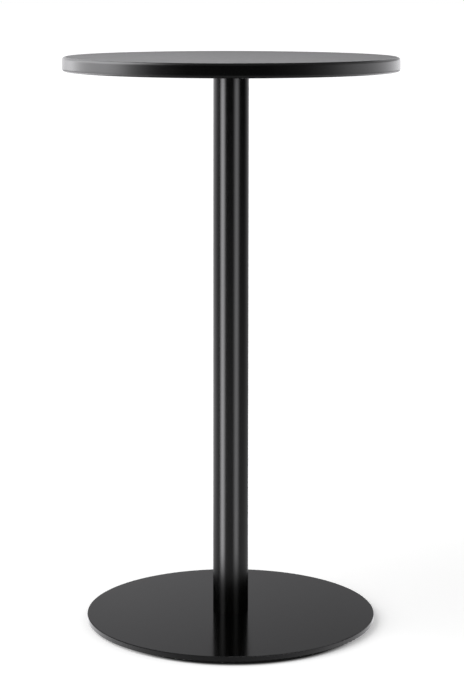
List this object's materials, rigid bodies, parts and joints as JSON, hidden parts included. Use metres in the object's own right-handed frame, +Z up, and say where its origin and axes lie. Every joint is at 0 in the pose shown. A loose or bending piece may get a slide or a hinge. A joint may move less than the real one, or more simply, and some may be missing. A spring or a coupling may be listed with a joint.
{
  "type": "pub table",
  "caption": "Round pub table: a laminate top with a rounded edge band on a straight steel column and a flat disc base, with screw glides that level it.",
  "frame": {"origin": "on the floor, at the column's axis, with the glides screwed right in", "axes": "+Z up along the column; the glides lie at 45 degrees to X and Y"},
  "size_m": [0.5959, 0.596, 1.02],
  "materials": {
    "laminate": "matte black laminate with a fine texture",
    "backing_laminate": "matte dark backing laminate",
    "edge_band": "satin black ABS",
    "board_core": "raw particle board",
    "powder_coat": "satin black powder coat",
    "bare_steel": "turned mild steel",
    "zinc_steel": "zinc plated",
    "black_steel": "black oxide",
    "nylon": "black nylon"
  },
  "bodies": {
    "table": {"tabletop_core": "board_core", "top_laminate": "laminate", "back_laminate": "backing_laminate", "edge_band": "edge_band", "insert_nuts": "zinc_steel", "top_plate": "powder_coat", "top_plate_washers": "black_steel", "top_plate_screws": "black_steel", "column_tube": "powder_coat", "head_plug": "bare_steel", "foot_plug": "bare_steel", "head_screws": "zinc_steel", "base_screws": "zinc_steel", "base_plate": "powder_coat"},
    "glide_1_foot": {"glide_pad_1": "nylon"},
    "glide_1_stud": {"glide_stud_1": "zinc_steel"},
    "glide_2_foot": {"glide_pad_2": "nylon"},
    "glide_2_stud": {"glide_stud_2": "zinc_steel"},
    "glide_3_foot": {"glide_pad_3": "nylon"},
    "glide_3_stud": {"glide_stud_3": "zinc_steel"},
    "glide_4_foot": {"glide_pad_4": "nylon"},
    "glide_4_stud": {"glide_stud_4": "zinc_steel"}
  },
  "joints": [
    {"name": "glide_1_travel", "type": "slide", "parent": "table", "child": "glide_1_foot", "axis": [0, 0, -1], "range_m": [0, 0.003]},
    {"name": "glide_1_turn", "type": "hinge", "parent": "glide_1_foot", "child": "glide_1_stud", "pos_m": [0.15556, 0.15556, 0.0016], "axis": [0, 0, -1], "range_deg": [0, 864]},
    {"name": "glide_2_travel", "type": "slide", "parent": "table", "child": "glide_2_foot", "axis": [0, 0, -1], "range_m": [0, 0.003]},
    {"name": "glide_2_turn", "type": "hinge", "parent": "glide_2_foot", "child": "glide_2_stud", "pos_m": [-0.15556, 0.15556, 0.0016], "axis": [0, 0, -1], "range_deg": [0, 864]},
    {"name": "glide_3_travel", "type": "slide", "parent": "table", "child": "glide_3_foot", "axis": [0, 0, -1], "range_m": [0, 0.003]},
    {"name": "glide_3_turn", "type": "hinge", "parent": "glide_3_foot", "child": "glide_3_stud", "pos_m": [-0.15556, -0.15556, 0.0016], "axis": [0, 0, -1], "range_deg": [0, 864]},
    {"name": "glide_4_travel", "type": "slide", "parent": "table", "child": "glide_4_foot", "axis": [0, 0, -1], "range_m": [0, 0.003]},
    {"name": "glide_4_turn", "type": "hinge", "parent": "glide_4_foot", "child": "glide_4_stud", "pos_m": [0.15556, -0.15556, 0.0016], "axis": [0, 0, -1], "range_deg": [0, 864]}
  ],
  "couplings": [
    {"joint": "glide_1_travel", "follows": "glide_1_turn", "m_per_rad": 0.0001989},
    {"joint": "glide_2_travel", "follows": "glide_2_turn", "m_per_rad": 0.0001989},
    {"joint": "glide_3_travel", "follows": "glide_3_turn", "m_per_rad": 0.0001989},
    {"joint": "glide_4_travel", "follows": "glide_4_turn", "m_per_rad": 0.0001989}
  ]
}
